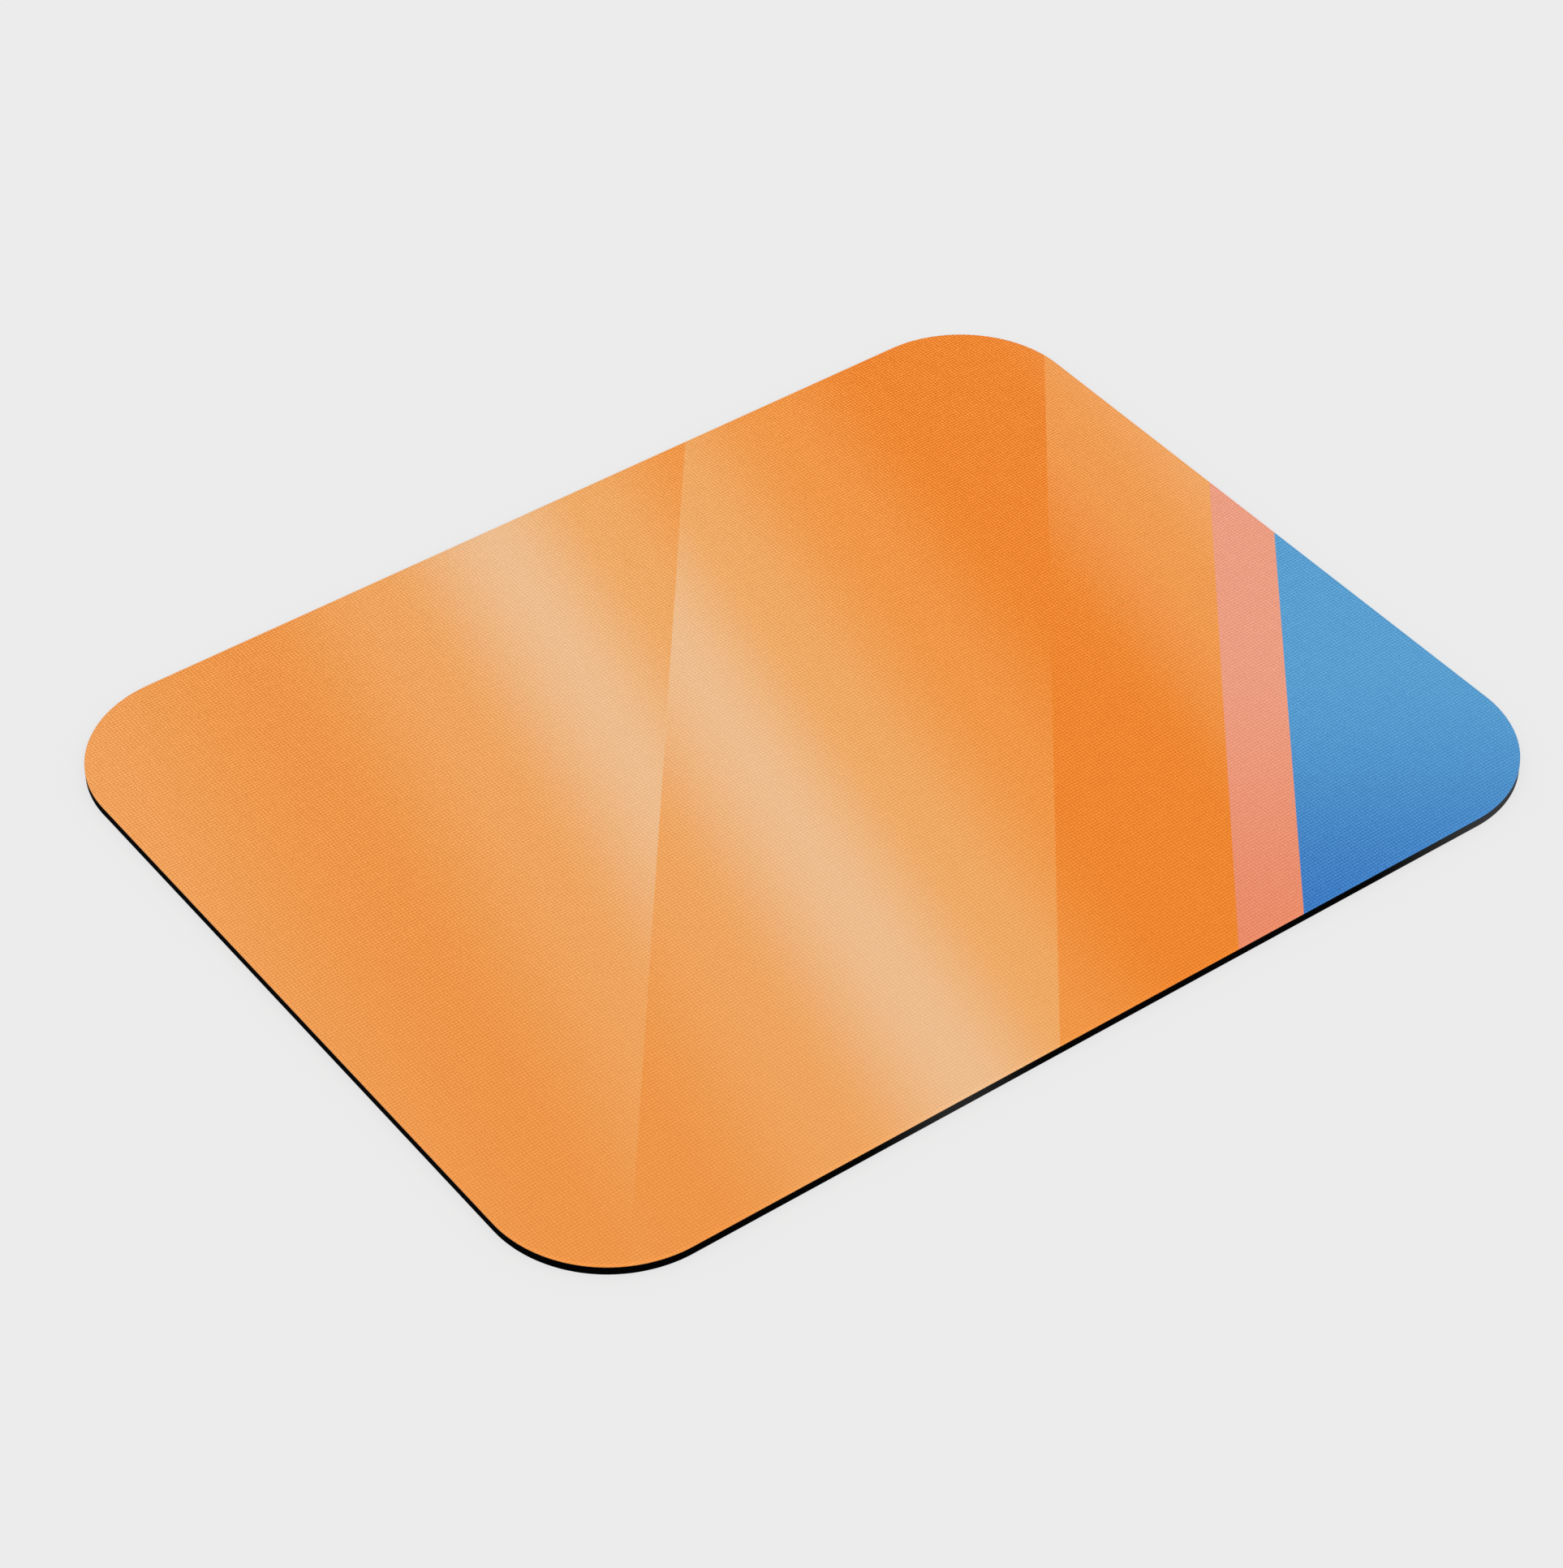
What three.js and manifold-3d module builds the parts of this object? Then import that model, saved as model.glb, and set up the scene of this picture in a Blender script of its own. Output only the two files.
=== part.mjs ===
// A cloth-faced mouse pad, in millimetres.
// X runs along the long side, Y along the short side and away from the user, Z is up.
// The origin is the middle of the underside, on the desk that the pad lies on.
// Three sheets are bonded and then cut in one stroke: printed cloth, bonding film and foam rubber.

import * as THREE from "three";
import { mergeVertices } from "three/addons/utils/BufferGeometryUtils.js";
import Module from "manifold-3d";

const wasm = await Module();
wasm.setup();

// The cut outline, which the three sheets share
const padLength = 280;
const padWidth = 220;
const cornerRadius = 30;
const cornerSteps = 20;

// The sheets, from the desk upwards
const rubberThickness = 2.2;
const filmThickness = 0.1;
const clothThickness = 0.7;

// The cutting die presses the rim of the cloth down into a small round
const clothRimRadius = 0.3;
const clothRimSteps = 3;

// Wavy grooves moulded into the underside, so that the rubber grips the desk.
// A plain border runs round them, so that they never break through the cut edge.
// The width is measured along Y, and the height of a wave is that of its centre line.
const plainBorder = 4.5;
const groovePitch = 7;
const grooveWidth = 1.6;
const grooveDepth = 0.5;
const waveLength = 24;
const waveHeight = 6;

// How far a cutter runs past the face that it cuts
const cutOverrun = 1;

/** The cut outline, drawn in by an inset: a rectangle with round corners. */
function padOutline(inset = 0) {
  const radius = cornerRadius - inset;
  const right = padLength / 2 - cornerRadius;
  const far = padWidth / 2 - cornerRadius;
  const outline = new THREE.Shape();
  outline.absarc(right, far, radius, 0, Math.PI / 2);
  outline.absarc(-right, far, radius, Math.PI / 2, Math.PI);
  outline.absarc(-right, -far, radius, Math.PI, 1.5 * Math.PI);
  outline.absarc(right, -far, radius, 1.5 * Math.PI, 2 * Math.PI);
  outline.closePath();
  return outline;
}

/** A flat sheet of an outline, from z = 0 up to its thickness. */
function flatSheet(outline, thickness) {
  return new THREE.ExtrudeGeometry(outline, {
    depth: thickness,
    bevelEnabled: false,
    curveSegments: cornerSteps,
  });
}

/** A closed geometry as a solid that can be joined and cut. */
function toSolid(geometry) {
  const bare = geometry.clone();
  bare.deleteAttribute("normal");
  bare.deleteAttribute("uv");
  const merged = mergeVertices(bare);
  const vertProperties = new Float32Array(merged.attributes.position.array);
  const triVerts = new Uint32Array(merged.index.array);
  return new wasm.Manifold(new wasm.Mesh({ numProp: 3, vertProperties, triVerts }));
}

/** A solid back as a geometry, with a normal of its own for each flat face. */
function toGeometry(solid) {
  const { vertProperties, triVerts } = solid.getMesh();
  const indexed = new THREE.BufferGeometry();
  indexed.setAttribute("position", new THREE.BufferAttribute(vertProperties, 3));
  indexed.setIndex(new THREE.BufferAttribute(triVerts, 1));
  const faceted = indexed.toNonIndexed();
  faceted.computeVertexNormals();
  return faceted;
}

/** The printed cloth: the outline with its upper rim pressed round. */
function clothGeometry() {
  const pressed = new THREE.ExtrudeGeometry(padOutline(clothRimRadius), {
    depth: clothThickness - clothRimRadius,
    bevelThickness: clothRimRadius,
    bevelSize: clothRimRadius,
    bevelSegments: clothRimSteps,
    curveSegments: cornerSteps,
  });
  // The extrusion rounds both rims, and the lower one hangs under z = 0, where it is cut off.
  const room = flatSheet(padOutline(-cutOverrun), clothThickness + cutOverrun);
  return toGeometry(toSolid(pressed).intersect(toSolid(room)));
}

/** One groove seen from above: straight legs between crests, longer than the pad. */
function grooveOutline() {
  const crests = 2 * Math.ceil(padLength / waveLength) + 2;
  const near = [];
  const far = [];
  for (let crest = 0; crest < crests; crest += 1) {
    const x = ((crest - (crests - 1) / 2) * waveLength) / 2;
    const y = (crest % 2 === 0 ? -waveHeight : waveHeight) / 2;
    near.push(new THREE.Vector2(x, y - grooveWidth / 2));
    far.push(new THREE.Vector2(x, y + grooveWidth / 2));
  }
  return new THREE.Shape([...near, ...far.reverse()]);
}

/** All the grooves as one cutter. Rows lie on both sides of y = 0, so the middle stays flat. */
function grooveCutter() {
  const height = grooveDepth + cutOverrun;
  const groove = toSolid(flatSheet(grooveOutline(), height));
  const reach = padWidth / 2 - plainBorder - (waveHeight + grooveWidth) / 2;
  const rowsEachSide = Math.round(reach / groovePitch);
  const rows = [];
  for (let row = -rowsEachSide; row < rowsEachSide; row += 1) {
    rows.push(groove.translate([0, (row + 1 / 2) * groovePitch, 0]));
  }
  const grooves = rows.reduce((joined, next) => joined.add(next));
  const field = toSolid(flatSheet(padOutline(plainBorder), height));
  return grooves.intersect(field).translate([0, 0, -cutOverrun]);
}

/** The foam rubber base: a flat sheet with the grooves in its underside. */
function rubberGeometry() {
  const sheet = toSolid(flatSheet(padOutline(), rubberThickness));
  return toGeometry(sheet.subtract(grooveCutter()));
}

/** One sheet of the pad as a named mesh whose underside lies at a height. */
function sheetMesh(name, geometry, height, finish) {
  const mesh = new THREE.Mesh(geometry, new THREE.MeshStandardMaterial(finish));
  mesh.name = name;
  mesh.position.z = height;
  return mesh;
}

const filmHeight = rubberThickness;
const clothHeight = filmHeight + filmThickness;

const rubberFinish = { color: "#0d0d0e", roughness: 0.75, metalness: 0 };
const filmFinish = { color: "#171513", roughness: 0.45, metalness: 0 };
const clothFinish = { color: "#f0964a", roughness: 0.9, metalness: 0 };

const pad = new THREE.Group();
pad.name = "mouse_pad";
pad.add(
  sheetMesh("rubber_base", rubberGeometry(), 0, rubberFinish),
  sheetMesh("bonding_film", flatSheet(padOutline(), filmThickness), filmHeight, filmFinish),
  sheetMesh("printed_cloth", clothGeometry(), clothHeight, clothFinish),
);

export default pad;
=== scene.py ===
"""Dresses a cloth-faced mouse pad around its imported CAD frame, in metres.

The real pad is a laminate: printed cloth, a bonding film and foam rubber are laid up as one sheet and
die-cut together. X runs along the long side, Y away from the user and Z up, from the middle of the
underside.
"""

import logging
import math
from dataclasses import dataclass
from enum import Enum

import bpy
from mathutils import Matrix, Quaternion, Vector, noise


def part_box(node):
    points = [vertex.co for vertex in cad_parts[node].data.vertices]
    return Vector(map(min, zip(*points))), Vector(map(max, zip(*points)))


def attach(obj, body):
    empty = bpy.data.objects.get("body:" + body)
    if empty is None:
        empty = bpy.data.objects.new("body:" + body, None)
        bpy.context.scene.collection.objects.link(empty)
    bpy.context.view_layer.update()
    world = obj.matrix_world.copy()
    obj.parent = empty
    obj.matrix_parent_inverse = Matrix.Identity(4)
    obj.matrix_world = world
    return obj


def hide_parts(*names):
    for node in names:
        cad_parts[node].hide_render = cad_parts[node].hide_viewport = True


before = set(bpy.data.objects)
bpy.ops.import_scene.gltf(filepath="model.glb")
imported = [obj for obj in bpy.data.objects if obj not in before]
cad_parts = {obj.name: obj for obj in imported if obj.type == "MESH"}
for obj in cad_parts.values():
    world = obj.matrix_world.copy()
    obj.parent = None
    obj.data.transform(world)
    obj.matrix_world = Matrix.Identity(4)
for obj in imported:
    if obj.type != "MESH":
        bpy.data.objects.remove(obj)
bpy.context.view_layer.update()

log = logging.getLogger("mouse_pad")

MM = 0.001
Socket = bpy.types.NodeSocket
Sockets = bpy.types.NodeOutputs
Tree = bpy.types.NodeTree

# The kinds of node that are used most
MATH = "ShaderNodeMath"
VECTOR_MATH = "ShaderNodeVectorMath"
MAP_RANGE = "ShaderNodeMapRange"
COMBINE = "ShaderNodeCombineXYZ"
SPLIT = "ShaderNodeSeparateXYZ"
NOISE = "ShaderNodeTexNoise"
MIX = "ShaderNodeMix"

# How the eye's even steps of grey stand to light
EYE_GAMMA = 2.2

# The Mix node's colour sockets by number, because its other sockets have the same names
COLOUR_A = 6
COLOUR_B = 7
MIXED = 2


def linear(hex_colour: str) -> tuple[float, float, float, float]:
    """Turns an sRGB hex colour, with its hash sign, into linear red, green and blue and an alpha of 1."""
    shares = (int(hex_colour[place : place + 2], 16) / 255 for place in (1, 3, 5))
    return (*(s / 12.92 if s <= 0.04045 else ((s + 0.055) / 1.055) ** 2.4 for s in shares), 1.0)


def fill_inputs(tree: Tree, node: bpy.types.Node, inputs: dict[int | str, object]) -> None:
    """Sets or links inputs of a node.

    Args:
        tree: The tree that the node stands in.
        node: The node.
        inputs: For each input, by name or number, a value to set or a socket to link.
    """
    for key, value in inputs.items():
        if isinstance(value, Socket):
            tree.links.new(value, node.inputs[key])
        else:
            node.inputs[key].default_value = value


def add_node(tree: Tree, kind: str, inputs: dict[int | str, object], **settings: object) -> bpy.types.Node:
    """Adds a node with its settings, its input values and its links.

    Args:
        tree: The shader or geometry tree that the node goes into.
        kind: The node's type name in Blender.
        inputs: For each input, by name or number, a value to set or a socket to link.
        settings: The node's own properties.

    Returns:
        The new node.
    """
    node = tree.nodes.new(kind)
    for name, value in settings.items():
        setattr(node, name, value)
    fill_inputs(tree, node, inputs)
    return node


def new_material(name: str) -> tuple[bpy.types.Material, Tree, bpy.types.Node]:
    """Starts a node material.

    Args:
        name: The material's name.

    Returns:
        The material, its tree and its main shader.
    """
    material = bpy.data.materials.new(name)
    material.use_nodes = True
    return material, material.node_tree, material.node_tree.nodes["Principled BSDF"]


def along_line(tree: Tree, place: Socket, slant: float) -> Socket:
    """Adds nodes for how far a place lies from the pad's middle along a slanted line."""
    line = {0: place, 1: (math.cos(slant), math.sin(slant), 0)}
    return add_node(tree, VECTOR_MATH, line, operation="DOT_PRODUCT").outputs["Value"]


class Facing(Enum):
    """Which way a flat fill of an outline faces."""

    UP = 1
    DOWN = -1


@dataclass(frozen=True)
class CutOutline:
    """The die's outline from above, a rectangle with round corners, as evenly spread steps.

    A step is a short straight run. The long sides, short sides and corners have whole numbers of coarse
    steps, and each coarse step splits into the same number of fine ones. A flat face inside it is filled
    with coarse rings at the ring insets, round an even grid.
    """

    length: float
    width: float
    corner_radius: float = 30 * MM
    long_steps: int = 66
    short_steps: int = 48
    corner_steps: int = 14
    ring_insets: tuple[float, ...] = (2 * MM, 8 * MM, 18 * MM)

    def _corner_centres(self) -> list[tuple[float, float]]:
        """Finds the centres of the round corners.

        Returns:
            The centres as X and Y, counter-clockwise from the far right one.
        """
        x = self.length / 2 - self.corner_radius
        y = self.width / 2 - self.corner_radius
        return [(x, y), (-x, y), (-x, -y), (x, -y)]

    def _past_centres(self, place: Vector) -> tuple[float, float]:
        """Measures how far out a place lies from the corner centres.

        Args:
            place: The place.

        Returns:
            The distances along X and Y, which are below zero between the centres.
        """
        past_x = abs(place.x) - self.length / 2 + self.corner_radius
        past_y = abs(place.y) - self.width / 2 + self.corner_radius
        return past_x, past_y

    def inset_at(self, place: Vector) -> float:
        """Measures how far inside the outline a place lies.

        Args:
            place: The place.

        Returns:
            The distance from the outline.
        """
        past_x, past_y = self._past_centres(place)
        beyond = math.hypot(max(past_x, 0), max(past_y, 0))
        return self.corner_radius - beyond - min(max(past_x, past_y), 0)

    def outwards_at(self, place: Vector) -> Vector:
        """Finds the way straight out to the nearest point of the outline.

        Args:
            place: The place, which is nearer to the outline than the corner centres are.

        Returns:
            The level direction, of length 1.
        """
        past_x, past_y = self._past_centres(place)
        out = Vector((math.copysign(max(past_x, 0), place.x), math.copysign(max(past_y, 0), place.y), 0))
        return out.normalized()

    def walk(self, fine: int) -> list[tuple[Vector, Vector]]:
        """Walks round the outline, counter-clockwise from the right end of the far right corner.

        Args:
            fine: How many fine steps a coarse step has.

        Returns:
            The place and the outward direction at each step.
        """
        centres = self._corner_centres()
        side_steps = (self.long_steps, self.short_steps, self.long_steps, self.short_steps)
        places = []
        for corner, centre in enumerate(centres):
            middle = Vector((*centre, 0))
            steps = self.corner_steps * fine
            for step in range(steps):
                angle = (corner + step / steps) * math.pi / 2
                out = Vector((math.cos(angle), math.sin(angle), 0))
                places.append((middle + out * self.corner_radius, out))
            angle = (corner + 1) * math.pi / 2
            out = Vector((round(math.cos(angle)), round(math.sin(angle)), 0))
            start = middle + out * self.corner_radius
            end = Vector((*centres[(corner + 1) % 4], 0)) + out * self.corner_radius
            steps = side_steps[corner] * fine
            places += [(start.lerp(end, step / steps), out) for step in range(steps)]
        return places


class RingMesh:
    """A closed mesh that is put together from rings round an outline."""

    def __init__(self, outline: CutOutline, fine: int) -> None:
        """Starts an empty mesh.

        Args:
            outline: The outline that every ring follows.
            fine: How many fine steps the rings at the rim have for each coarse step.
        """
        self.outline = outline
        self.fine = fine
        self.rim = outline.walk(fine)
        self.vertices: list[Vector] = []
        self.faces: list[list[int]] = []

    def add(self, place: Vector) -> int:
        """Adds a vertex and returns its number."""
        self.vertices.append(place)
        return len(self.vertices) - 1

    def ring(self, insets: list[float], heights: list[float]) -> list[int]:
        """Adds a ring with an inset and a height for each fine step of the rim, and returns its vertices."""
        steps = zip(self.rim, insets, heights)
        return [self.add(place - out * inset + Vector((0, 0, z))) for (place, out), inset, z in steps]

    def level_ring(self, inset: float, height: float) -> list[int]:
        """Adds a ring with one inset and one height all round, and returns its vertices."""
        return self.ring([inset] * len(self.rim), [height] * len(self.rim))

    def band(self, lower: list[int], upper: list[int]) -> None:
        """Joins two rings by faces, with triangles where corners of a face coincide.

        Args:
            lower: The ring that is lower, or further out where both lie flat and face up.
            upper: The other ring, with as many steps.
        """
        for i, start in enumerate(lower):
            j = (i + 1) % len(lower)
            face = dict.fromkeys((start, lower[j], upper[j], upper[i]))
            if len(face) > 2:
                self.faces.append(list(face))

    def fill(self, rim_ring: list[int], height: float, facing: Facing) -> None:
        """Fills the inside of a ring with coarse rings round an even grid.

        Args:
            rim_ring: The fine ring that is filled.
            height: The height of the flat fill.
            facing: Which way the fill faces.
        """
        first = len(self.faces)
        coarse = self.outline.walk(1)
        rings = []
        for inset in self.outline.ring_insets:
            rings.append([self.add(place - out * inset + Vector((0, 0, height))) for place, out in coarse])
        for i in range(len(coarse)):
            j = (i + 1) % len(coarse)
            fine_run = [rim_ring[(i * self.fine + k) % len(rim_ring)] for k in range(self.fine + 1)]
            self.faces.append([*fine_run, rings[0][j], rings[0][i]])
        for outer, inner in zip(rings, rings[1:]):
            self.band(outer, inner)
        self.band(rings[-1], self._grid(height))
        if facing is Facing.DOWN:
            self.faces[first:] = [face[::-1] for face in self.faces[first:]]

    def _grid(self, height: float) -> list[int]:
        """Adds an even grid between the centres of the round corners.

        Args:
            height: The grid's height.

        Returns:
            The vertices round its edge, one for each coarse step of the outline: the steps of a round
            corner share the grid's corner.
        """
        o = self.outline
        half_x = o.length / 2 - o.corner_radius
        half_y = o.width / 2 - o.corner_radius
        columns = [half_x * (1 - 2 * i / o.long_steps) for i in range(o.long_steps + 1)]
        rows = [half_y * (1 - 2 * j / o.short_steps) for j in range(o.short_steps + 1)]
        grid = [[self.add(Vector((x, y, height))) for y in rows] for x in columns]
        for i in range(o.long_steps):
            for j in range(o.short_steps):
                self.faces.append([grid[i][j], grid[i + 1][j], grid[i + 1][j + 1], grid[i][j + 1]])
        far = [column[0] for column in grid[:-1]]
        left = grid[-1][:-1]
        near = [column[-1] for column in grid[:0:-1]]
        right = grid[0][:0:-1]
        edge = []
        for side in (far, left, near, right):
            edge += [side[0]] * o.corner_steps + side
        return edge

    def to_object(self, name: str) -> bpy.types.Object:
        """Makes a Blender object of the mesh.

        Args:
            name: The object's name.

        Returns:
            The object, which is in the scene.
        """
        mesh = bpy.data.meshes.new(name)
        mesh.from_pydata([tuple(place) for place in self.vertices], [], self.faces)
        mesh.validate()
        piece = bpy.data.objects.new(name, mesh)
        bpy.context.scene.collection.objects.link(piece)
        return piece


def shade_by_angle(piece: bpy.types.Object, crease_angle: float) -> None:
    """Shades a piece smooth, and keeps the edges that are sharper than an angle."""
    piece.data.shade_smooth()
    piece.data.set_sharp_from_angle(angle=crease_angle)


@dataclass(frozen=True)
class PlainWeave:
    """A plain weave of round yarns along X and Y, in which those along X stand out more."""

    yarn_pitch: float = 0.839 * MM
    share_along_x: float = 0.57
    share_along_y: float = 0.43
    mean_height: float = 2 / math.pi

    def height_at(self, place: Vector) -> float:
        """Works out the weave's height at a place.

        Args:
            place: The place on the cloth, in metres.

        Returns:
            A height from 0 between yarns to 1 on a crown.
        """
        along_x = abs(math.sin(math.pi * place.y / self.yarn_pitch))
        along_y = abs(math.sin(math.pi * place.x / self.yarn_pitch))
        return self.share_along_x * along_x + self.share_along_y * along_y

    def height(self, tree: Tree, place: Socket) -> Socket:
        """Adds nodes for the weave's height.

        Args:
            tree: The material's tree.
            place: The place on the cloth, in metres.

        Returns:
            A height from 0 between yarns to 1 on a crown.
        """
        turns = {0: place, "Scale": math.pi / self.yarn_pitch}
        turned = add_node(tree, VECTOR_MATH, turns, operation="SCALE").outputs[0]
        waves = add_node(tree, VECTOR_MATH, {0: turned}, operation="SINE").outputs[0]
        yarns = add_node(tree, VECTOR_MATH, {0: waves}, operation="ABSOLUTE").outputs[0]
        both = {0: yarns, 1: (self.share_along_y, self.share_along_x, 0)}
        return add_node(tree, VECTOR_MATH, both, operation="DOT_PRODUCT").outputs["Value"]


@dataclass(frozen=True)
class Tone:
    """A colour of the print and the place where it stands, across the stripes."""

    place: float
    colour: str


@dataclass(frozen=True)
class StripedPrint:
    """A print of wide diagonal stripes in soft orange tones, with a coral and a blue stripe at one corner.

    The stripes lie side by side across a slanted line. Soft tones run across the pad on another slant, and
    shift sideways in each stripe, so that the stripes meet in faint steps. The coral and the blue stripe
    each fade from one tone to another between the stripe ends.
    """

    stripe_slant: float = math.radians(-38)
    tone_slant: float = math.radians(-12)
    dye_bleed: float = 0.15 * MM
    tones: tuple[Tone, ...] = (
        Tone(-160 * MM, "#efa159"),
        Tone(-104 * MM, "#ed9444"),
        Tone(-68 * MM, "#eea35b"),
        Tone(-36 * MM, "#edbc8c"),
        Tone(-10 * MM, "#eea861"),
        Tone(20 * MM, "#ef9542"),
        Tone(52 * MM, "#ed8427"),
        Tone(82 * MM, "#ed8427"),
        Tone(116 * MM, "#ef994c"),
        Tone(150 * MM, "#f0ac6a"),
    )
    shifts: tuple[tuple[float, float], ...] = ((-32 * MM, -24 * MM), (58 * MM, 30 * MM))
    stripe_ends: tuple[float, float] = (-70 * MM, 40 * MM)
    coral_from: float = 98 * MM
    coral_tones: tuple[str, str] = ("#e98965", "#eb9c80")
    blue_from: float = 113 * MM
    blue_tones: tuple[str, str] = ("#3273be", "#569dcf")

    def _past(self, tree: Tree, across: Socket, edge: float) -> Socket:
        """Adds nodes for which side of a stripe's edge a place lies on.

        Args:
            tree: The material's tree.
            across: The place across the stripes.
            edge: Where the stripe's edge lies across them.

        Returns:
            0 before the edge and 1 past it, with the dye's short bleed between.
        """
        half = self.dye_bleed / 2
        bleed = {"Value": across, "From Min": edge - half, "From Max": edge + half}
        return add_node(tree, MAP_RANGE, bleed).outputs["Result"]

    def _ramp(self, tree: Tree, distance: Socket, tones: tuple[Tone, ...]) -> Socket:
        """Adds nodes for a colour that is eased from tone to tone.

        Args:
            tree: The material's tree.
            distance: The distance along the line on which the tones stand.
            tones: The tones, in order.

        Returns:
            The colour.
        """
        first, last = tones[0].place, tones[-1].place
        share = add_node(tree, MAP_RANGE, {"Value": distance, "From Min": first, "From Max": last})
        ramp = add_node(tree, "ShaderNodeValToRGB", {"Fac": share.outputs["Result"]})
        ramp.color_ramp.interpolation = "EASE"
        stops = ramp.color_ramp.elements
        stops.remove(stops[1])
        for number, tone in enumerate(tones):
            stop = stops[0] if number == 0 else stops.new((tone.place - first) / (last - first))
            stop.position = (tone.place - first) / (last - first)
            stop.color = linear(tone.colour)
        return ramp.outputs["Color"]

    def colour(self, tree: Tree, place: Socket) -> Socket:
        """Adds nodes for the print.

        Args:
            tree: The material's tree.
            place: The place on the cloth, in metres.

        Returns:
            The print's colour.
        """
        across = along_line(tree, place, self.stripe_slant)
        along = along_line(tree, place, self.stripe_slant + math.pi / 2)
        toned = along_line(tree, place, self.tone_slant)
        for edge, shift in self.shifts:
            shifted = {0: self._past(tree, across, edge), 1: shift, 2: toned}
            toned = add_node(tree, MATH, shifted, operation="MULTIPLY_ADD").outputs[0]
        colour = self._ramp(tree, toned, self.tones)
        for edge, tones in ((self.coral_from, self.coral_tones), (self.blue_from, self.blue_tones)):
            faded = tuple(Tone(end, tone) for end, tone in zip(self.stripe_ends, tones))
            stripe = self._ramp(tree, along, faded)
            laid_over = {"Factor": self._past(tree, across, edge), COLOUR_A: colour, COLOUR_B: stripe}
            colour = add_node(tree, MIX, laid_over, data_type="RGBA").outputs[MIXED]
        return colour


@dataclass(frozen=True)
class WovenPolyester:
    """Polyester cloth in a plain weave, printed with dye by heat.

    The gaps' darker grey and the crowns' lighter grey are painted shade and painted highlight in the base
    colour. The contrast is the step of grey from a gap to a crown on a black dye. It is lowest at the near
    left corner, and grows evenly along a steep slant to the far side. The reach is how far the corners lie
    from the middle along that slant. The other reliefs are shares of the weave's, and the fibre ends are
    drawn about ten times as coarse as real ones, so that they show. A spread is how far a noise strays from
    its middle before its relief is full.
    """

    weave: PlainWeave
    design: StripedPrint
    laid_flat: str = "laid_flat"
    crown_height: float = 0.015 * MM
    painted_contrast_slant: float = math.radians(78)
    painted_contrast_reach: float = 136 * MM
    near_painted_contrast: float = 0.205
    far_painted_contrast: float = 0.525
    slub_length: float = 9 * MM
    slub_relief: float = 0.05
    slub_spread: float = 0.2
    crossing_relief: float = 0.11
    fibre_size: float = 0.3 * MM
    fibre_relief: float = 0.9
    fibre_spread: float = 0.25
    ior: float = 1.57
    gloss: float = 0.12
    roughness: float = 0.85
    sheen: float = 0.03
    sheen_roughness: float = 0.5

    def material(self) -> bpy.types.Material:
        """Builds the cloth's material.

        Returns:
            The material.
        """
        # Woven polyester looks matt; its darker gaps and lighter crowns are painted shade and painted
        # highlight.
        material, tree, shader = new_material("printed_woven_polyester")
        named = {"attribute_name": self.laid_flat}
        place = add_node(tree, "ShaderNodeAttribute", {}, **named).outputs["Vector"]
        height = self.weave.height(tree, place)
        relief = self._relief(tree, place, height)
        # The dye soaks straight down into the cut rim, where the yarns follow its turn.
        dye = self.design.colour(tree, add_node(tree, "ShaderNodeTexCoord", {}).outputs["Object"])
        # The gaps' shade and the crowns' highlight are painted into the base colour here.
        colour = self._with_painted_shade(tree, dye, relief, self._painted_contrast(tree, place))
        bump = add_node(tree, "ShaderNodeBump", {"Height": height, "Distance": self.crown_height})
        surface = {"Base Color": colour, "Normal": bump.outputs["Normal"], "Roughness": self.roughness}
        surface |= {"IOR": self.ior, "Specular IOR Level": self.gloss}
        surface |= {"Sheen Weight": self.sheen, "Sheen Roughness": self.sheen_roughness}
        fill_inputs(tree, shader, surface)
        return material

    def _painted_contrast(self, tree: Tree, place: Socket) -> Socket:
        """Adds nodes for the contrast of the painted shade and highlight, which grows from near to far side.

        Args:
            tree: The material's tree.
            place: The place on the cloth, in metres.

        Returns:
            The contrast.
        """
        grown = {"Value": along_line(tree, place, self.painted_contrast_slant)}
        grown |= {"From Min": -self.painted_contrast_reach, "To Min": self.near_painted_contrast}
        grown |= {"From Max": self.painted_contrast_reach, "To Max": self.far_painted_contrast}
        return add_node(tree, MAP_RANGE, grown).outputs["Result"]

    def _with_painted_shade(self, tree: Tree, dye: Socket, relief: Socket, contrast: Socket) -> Socket:
        """Adds nodes that paint shade into the gaps and a highlight onto the crowns, by equal steps of grey.

        The steps are smaller on a pale dye, where the crowns have little room to look lighter.

        Args:
            tree: The material's tree.
            dye: The print's colour.
            relief: The relief of the cloth, with a mean of 0.
            contrast: The step of grey from a gap to a crown on a black dye.

        Returns:
            The cloth's colour.
        """
        seen = add_node(tree, "ShaderNodeGamma", {"Color": dye, "Gamma": 1 / EYE_GAMMA}).outputs[0]
        grey = add_node(tree, "ShaderNodeRGBToBW", {"Color": seen}).outputs[0]
        room = {"Value": grey, "To Min": contrast, "To Max": 0.0}
        room = add_node(tree, MAP_RANGE, room).outputs["Result"]
        step = add_node(tree, MATH, {0: relief, 1: room}, operation="MULTIPLY").outputs[0]
        stepped = add_node(tree, VECTOR_MATH, {0: seen, 1: step}).outputs[0]
        return add_node(tree, "ShaderNodeGamma", {"Color": stepped, "Gamma": EYE_GAMMA}).outputs[0]

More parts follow.
